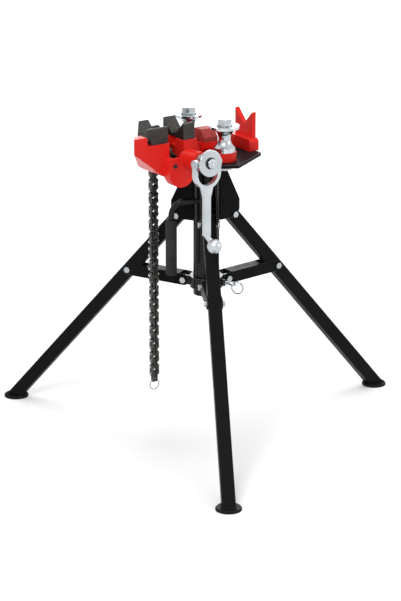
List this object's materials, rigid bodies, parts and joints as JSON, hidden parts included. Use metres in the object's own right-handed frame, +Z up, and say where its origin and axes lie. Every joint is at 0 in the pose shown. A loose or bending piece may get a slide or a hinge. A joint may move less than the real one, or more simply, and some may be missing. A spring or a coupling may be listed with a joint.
{
  "type": "tripod pipe vise stand",
  "caption": "Folding tripod stand with a chain vise on its head, a hand crank, a pipe rest and bending rollers, used to hold pipe for threading and cutting.",
  "frame": {"origin": "middle of the whole stand's bounding box, on the floor", "axes": "+Z is up; +X runs along the clamped pipe from the chain vise to the pipe rest; -Y is the side of the crank"},
  "size_m": [0.8156, 0.9326, 0.7563],
  "materials": {
    "powder_coat": "satin powder coat",
    "red_paint": "gloss enamel",
    "zinc": "bright zinc plate",
    "jaw_steel": "blackened, machined",
    "chain_steel": "oiled, dark",
    "grip_rubber": "moulded, matt"
  },
  "bodies": {
    "stand": {"mast_tube": "powder_coat", "head_plate": "powder_coat", "bracket_right": "powder_coat", "bracket_left": "powder_coat", "bracket_front": "powder_coat", "head_bolts": "zinc", "pivot_bolts": "zinc", "vise_casting": "red_paint", "set_pin": "zinc", "jaw_front_near": "jaw_steel", "jaw_front_far": "jaw_steel", "jaw_rear_near": "jaw_steel", "jaw_rear_far": "jaw_steel", "pipe_rest": "red_paint", "roller_bolt_near": "zinc", "roller_bolt_far": "zinc", "chain_anchor_pin": "zinc", "chain_across": "chain_steel", "carry_rod": "powder_coat", "carry_grip": "grip_rubber", "carry_nut": "zinc"},
    "leg_right_body": {"leg_right": "powder_coat", "foot_right": "powder_coat"},
    "leg_left_body": {"leg_left": "powder_coat", "foot_left": "powder_coat"},
    "leg_front_body": {"leg_front": "powder_coat", "foot_front": "powder_coat"},
    "collar_body": {"collar": "powder_coat", "collar_bolts": "zinc", "pin_bush": "powder_coat"},
    "strut_right_body": {"strut_right": "powder_coat", "strut_studs_right": "zinc"},
    "strut_left_body": {"strut_left": "powder_coat", "strut_studs_left": "zinc"},
    "strut_front_body": {"strut_front": "powder_coat", "strut_studs_front": "zinc"},
    "lock_pin_body": {"pull_pin": "zinc"},
    "pull_ring_body": {"pull_ring": "zinc"},
    "roller_near_body": {"roller_near": "zinc"},
    "roller_far_body": {"roller_far": "zinc"},
    "screw_body": {"chain_screw": "zinc", "thrust_disc": "zinc", "screw_cap": "zinc", "cross_pin": "zinc"},
    "crank_body": {"crank_fork": "zinc", "crank_ball": "zinc"},
    "chain_1_body": {"chain_hang_1": "chain_steel"},
    "chain_2_body": {"chain_hang_2": "chain_steel"},
    "chain_3_body": {"chain_hang_3": "chain_steel"},
    "chain_4_body": {"chain_hang_4": "chain_steel"},
    "chain_ring_body": {"chain_ring": "zinc"}
  },
  "joints": [
    {"name": "fold_right", "type": "hinge", "parent": "stand", "child": "leg_right_body", "pos_m": [-0.06025, 0, 0.511], "axis": [0, 1, 0], "range_deg": [0, 33.2]},
    {"name": "fold_left", "type": "hinge", "parent": "stand", "child": "leg_left_body", "pos_m": [-0.15925, 0.05716, 0.511], "axis": [-0.866, -0.5, 0], "range_deg": [0, 33.2]},
    {"name": "fold_front", "type": "hinge", "parent": "stand", "child": "leg_front_body", "pos_m": [-0.15925, -0.05716, 0.511], "axis": [0.866, -0.5, 0], "range_deg": [0, 33.2]},
    {"name": "collar_slide", "type": "slide", "parent": "stand", "child": "collar_body", "axis": [0, 0, -1], "range_m": [0, 0.1761]},
    {"name": "strut_turn_right", "type": "hinge", "parent": "collar_body", "child": "strut_right_body", "pos_m": [-0.07625, 0, 0.359], "axis": [0, -1, 0], "range_deg": [0, 70.5]},
    {"name": "strut_turn_left", "type": "hinge", "parent": "collar_body", "child": "strut_left_body", "pos_m": [-0.15125, 0.0433, 0.359], "axis": [0.866, 0.5, 0], "range_deg": [0, 70.5]},
    {"name": "strut_turn_front", "type": "hinge", "parent": "collar_body", "child": "strut_front_body", "pos_m": [-0.15125, -0.0433, 0.359], "axis": [-0.866, 0.5, 0], "range_deg": [0, 70.5]},
    {"name": "lock_pin_slide", "type": "slide", "parent": "collar_body", "child": "lock_pin_body", "axis": [0.5, -0.866, 0], "range_m": [-0.005, 0]},
    {"name": "pull_ring_swing", "type": "hinge", "parent": "lock_pin_body", "child": "pull_ring_body", "pos_m": [-0.09275, -0.05802, 0.359], "axis": [0, 0, 1], "range_deg": [-60, 60]},
    {"name": "roller_near_spin", "type": "hinge", "parent": "stand", "child": "roller_near_body", "pos_m": [-0.12625, -0.07, 0.7], "axis": [0, 0, 1], "continuous": true},
    {"name": "roller_far_spin", "type": "hinge", "parent": "stand", "child": "roller_far_body", "pos_m": [-0.12625, 0.07, 0.7], "axis": [0, 0, 1], "continuous": true},
    {"name": "screw_turn", "type": "hinge", "parent": "stand", "child": "screw_body", "pos_m": [-0.21825, -0.13, 0.681], "axis": [0, -0.9962, 0.0872], "continuous": true},
    {"name": "crank_tilt", "type": "hinge", "parent": "screw_body", "child": "crank_body", "pos_m": [-0.21825, -0.13, 0.681], "axis": [1, 0, 0], "range_deg": [-12, 15]},
    {"name": "chain_swing_1", "type": "hinge", "parent": "stand", "child": "chain_1_body", "pos_m": [-0.23825, 0.05, 0.71389], "axis": [1, 0, 0], "range_deg": [0, 12.5]},
    {"name": "chain_swing_2", "type": "hinge", "parent": "chain_1_body", "child": "chain_2_body", "pos_m": [-0.23825, 0.05, 0.55514], "axis": [1, 0, 0], "range_deg": [-8, 18]},
    {"name": "chain_swing_3", "type": "hinge", "parent": "chain_2_body", "child": "chain_3_body", "pos_m": [-0.23825, 0.05, 0.39639], "axis": [1, 0, 0], "range_deg": [-8, 40]},
    {"name": "chain_swing_4", "type": "hinge", "parent": "chain_3_body", "child": "chain_4_body", "pos_m": [-0.23825, 0.05, 0.23764], "axis": [1, 0, 0], "range_deg": [-8, 60]},
    {"name": "chain_ring_swing", "type": "hinge", "parent": "chain_4_body", "child": "chain_ring_body", "pos_m": [-0.23825, 0.05, 0.12652], "axis": [1, 0, 0], "range_deg": [-60, 60]}
  ],
  "couplings": [
    {"joint": "fold_left", "follows": "fold_right", "ratio": 1},
    {"joint": "fold_front", "follows": "fold_right", "ratio": 1},
    {"joint": "collar_slide", "follows": "fold_right", "m_per_rad": 0.30304},
    {"joint": "strut_turn_right", "follows": "fold_right", "ratio": 2.1163},
    {"joint": "strut_turn_left", "follows": "fold_right", "ratio": 2.1163},
    {"joint": "strut_turn_front", "follows": "fold_right", "ratio": 2.1163}
  ]
}
